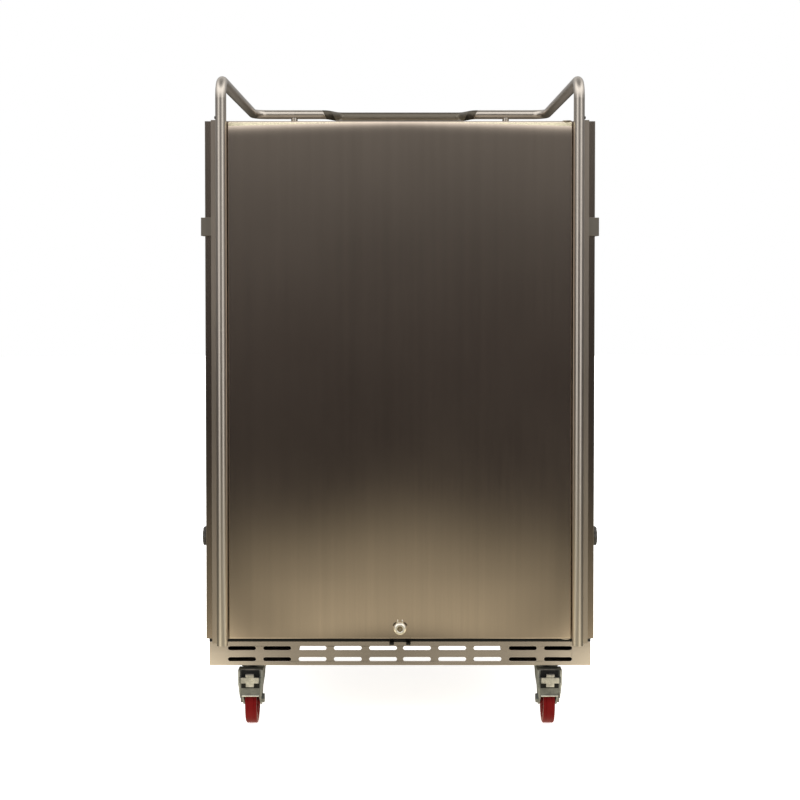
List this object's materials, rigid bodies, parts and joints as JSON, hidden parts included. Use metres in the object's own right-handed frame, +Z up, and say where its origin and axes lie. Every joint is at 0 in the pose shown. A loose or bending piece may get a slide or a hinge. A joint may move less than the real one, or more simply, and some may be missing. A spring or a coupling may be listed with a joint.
{
  "type": "proofing cabinet",
  "caption": "Insulated stainless proofing cabinet on casters, with a full front door, push rail, shelves, humidity pan, fan and heater.",
  "frame": {"origin": "on the floor under the centre of the overall box", "axes": "+Z up, the door faces -Y, +X to the right seen from the front"},
  "size_m": [0.807, 0.836, 1.324],
  "materials": {
    "side_steel": "satin brushed",
    "frame_steel": "satin brushed",
    "door_steel": "vertically brushed, satin",
    "tube_steel": "polished tube",
    "plinth_steel": "satin brushed",
    "liner_steel": "mill finish",
    "insulation_foam": "closed-cell foam",
    "seal_rubber": "matt",
    "lock_chrome": "polished",
    "pin_steel": "turned",
    "black_steel": "satin black",
    "zinc_steel": "zinc plated",
    "pedal_zinc": "cast, bare",
    "wheel_red": "moulded polyurethane",
    "heater_steel": "heat tinted",
    "motor_body": "satin",
    "fan_aluminium": "satin",
    "knob_grey": "moulded",
    "control_black": "moulded",
    "lamp_lens": "moulded lens"
  },
  "bodies": {
    "cabinet": {"air_baffle": "liner_steel", "back_panel": "side_steel", "base_pan": "side_steel", "caster_channels": "frame_steel", "caster_plates": "zinc_steel", "control_box": "frame_steel", "corner_posts": "frame_steel", "drip_seal": "seal_rubber", "face_frame": "frame_steel", "fan_motor": "motor_body", "heater_element": "heater_steel", "hinge_brackets": "frame_steel", "insulation": "insulation_foam", "liner": "liner_steel", "lock_keeper": "black_steel", "pilot_lamps": "lamp_lens", "plinth_back": "plinth_steel", "plinth_front": "plinth_steel", "power_inlet": "control_black", "push_rail": "tube_steel", "rail_post_left": "tube_steel", "rail_post_right": "tube_steel", "rail_stanchions": "tube_steel", "roof_panel": "side_steel", "shelves": "liner_steel", "side_brackets": "frame_steel", "side_panel_left": "side_steel", "side_panel_right": "side_steel", "side_rail_left": "tube_steel", "side_rail_right": "tube_steel", "tray_racks": "liner_steel", "wall_buffers": "seal_rubber", "water_pan": "liner_steel"},
    "door": {"door_skin": "door_steel", "door_core": "insulation_foam", "door_liner": "liner_steel", "door_gasket": "seal_rubber", "door_pivots": "pin_steel", "lock_ring": "lock_chrome"},
    "lock": {"lock_plug": "lock_chrome", "lock_cam": "pin_steel"},
    "fan": {"fan_rotor": "fan_aluminium"},
    "temperature_control": {"temperature_dial": "control_black"},
    "rocker": {"power_switch": "control_black"},
    "vent_left": {"vent_knob_left": "knob_grey"},
    "vent_right": {"vent_knob_right": "knob_grey"},
    "caster_front_left": {"fork_front_left": "zinc_steel", "axle_front_left": "zinc_steel"},
    "roller_front_left": {"wheel_front_left": "wheel_red"},
    "pedal_front_left": {"brake_pedal_front_left": "pedal_zinc"},
    "caster_front_right": {"fork_front_right": "zinc_steel", "axle_front_right": "zinc_steel"},
    "roller_front_right": {"wheel_front_right": "wheel_red"},
    "pedal_front_right": {"brake_pedal_front_right": "pedal_zinc"},
    "caster_rear_left": {"fork_rear_left": "zinc_steel", "axle_rear_left": "zinc_steel"},
    "roller_rear_left": {"wheel_rear_left": "wheel_red"},
    "caster_rear_right": {"fork_rear_right": "zinc_steel", "axle_rear_right": "zinc_steel"},
    "roller_rear_right": {"wheel_rear_right": "wheel_red"}
  },
  "joints": [
    {"name": "door_hinge", "type": "hinge", "parent": "cabinet", "child": "door", "pos_m": [0.334, -0.388, 0.7], "axis": [0, 0, 1], "range_deg": [0, 90]},
    {"name": "lock_turn", "type": "hinge", "parent": "door", "child": "lock", "pos_m": [0, -0.39, 0.214], "axis": [0, 1, 0], "range_deg": [0, 90]},
    {"name": "fan_spin", "type": "hinge", "parent": "cabinet", "child": "fan", "pos_m": [0, 0.345, 0.76], "axis": [0, 1, 0], "continuous": true},
    {"name": "temperature_turn", "type": "hinge", "parent": "cabinet", "child": "temperature_control", "pos_m": [-0.09, 0.33, 1.261], "axis": [0, 1, 0], "range_deg": [0, 270]},
    {"name": "power_rock", "type": "hinge", "parent": "cabinet", "child": "rocker", "pos_m": [0.01, 0.323, 1.261], "axis": [1, 0, 0], "range_deg": [0, 6]},
    {"name": "vent_left_turn", "type": "hinge", "parent": "cabinet", "child": "vent_left", "pos_m": [-0.398, -0.322, 0.3895], "axis": [1, 0, 0], "range_deg": [0, 90]},
    {"name": "vent_right_turn", "type": "hinge", "parent": "cabinet", "child": "vent_right", "pos_m": [0.398, -0.322, 0.3895], "axis": [1, 0, 0], "range_deg": [0, 90]},
    {"name": "swivel_front_left", "type": "hinge", "parent": "cabinet", "child": "caster_front_left", "pos_m": [-0.3045, -0.272, 0.115], "axis": [0, 0, 1], "continuous": true},
    {"name": "roll_front_left", "type": "hinge", "parent": "caster_front_left", "child": "roller_front_left", "pos_m": [-0.3045, -0.307, 0.05], "axis": [1, 0, 0], "continuous": true},
    {"name": "brake_front_left", "type": "hinge", "parent": "caster_front_left", "child": "pedal_front_left", "pos_m": [-0.3045, -0.37, 0.103], "axis": [1, 0, 0], "range_deg": [0, 18]},
    {"name": "swivel_front_right", "type": "hinge", "parent": "cabinet", "child": "caster_front_right", "pos_m": [0.3045, -0.272, 0.115], "axis": [0, 0, 1], "continuous": true},
    {"name": "roll_front_right", "type": "hinge", "parent": "caster_front_right", "child": "roller_front_right", "pos_m": [0.3045, -0.307, 0.05], "axis": [1, 0, 0], "continuous": true},
    {"name": "brake_front_right", "type": "hinge", "parent": "caster_front_right", "child": "pedal_front_right", "pos_m": [0.3045, -0.37, 0.103], "axis": [1, 0, 0], "range_deg": [0, 18]},
    {"name": "swivel_rear_left", "type": "hinge", "parent": "cabinet", "child": "caster_rear_left", "pos_m": [-0.3045, 0.322, 0.115], "axis": [0, 0, 1], "continuous": true},
    {"name": "roll_rear_left", "type": "hinge", "parent": "caster_rear_left", "child": "roller_rear_left", "pos_m": [-0.3045, 0.287, 0.05], "axis": [1, 0, 0], "continuous": true},
    {"name": "swivel_rear_right", "type": "hinge", "parent": "cabinet", "child": "caster_rear_right", "pos_m": [0.3045, 0.322, 0.115], "axis": [0, 0, 1], "continuous": true},
    {"name": "roll_rear_right", "type": "hinge", "parent": "caster_rear_right", "child": "roller_rear_right", "pos_m": [0.3045, 0.287, 0.05], "axis": [1, 0, 0], "continuous": true}
  ]
}
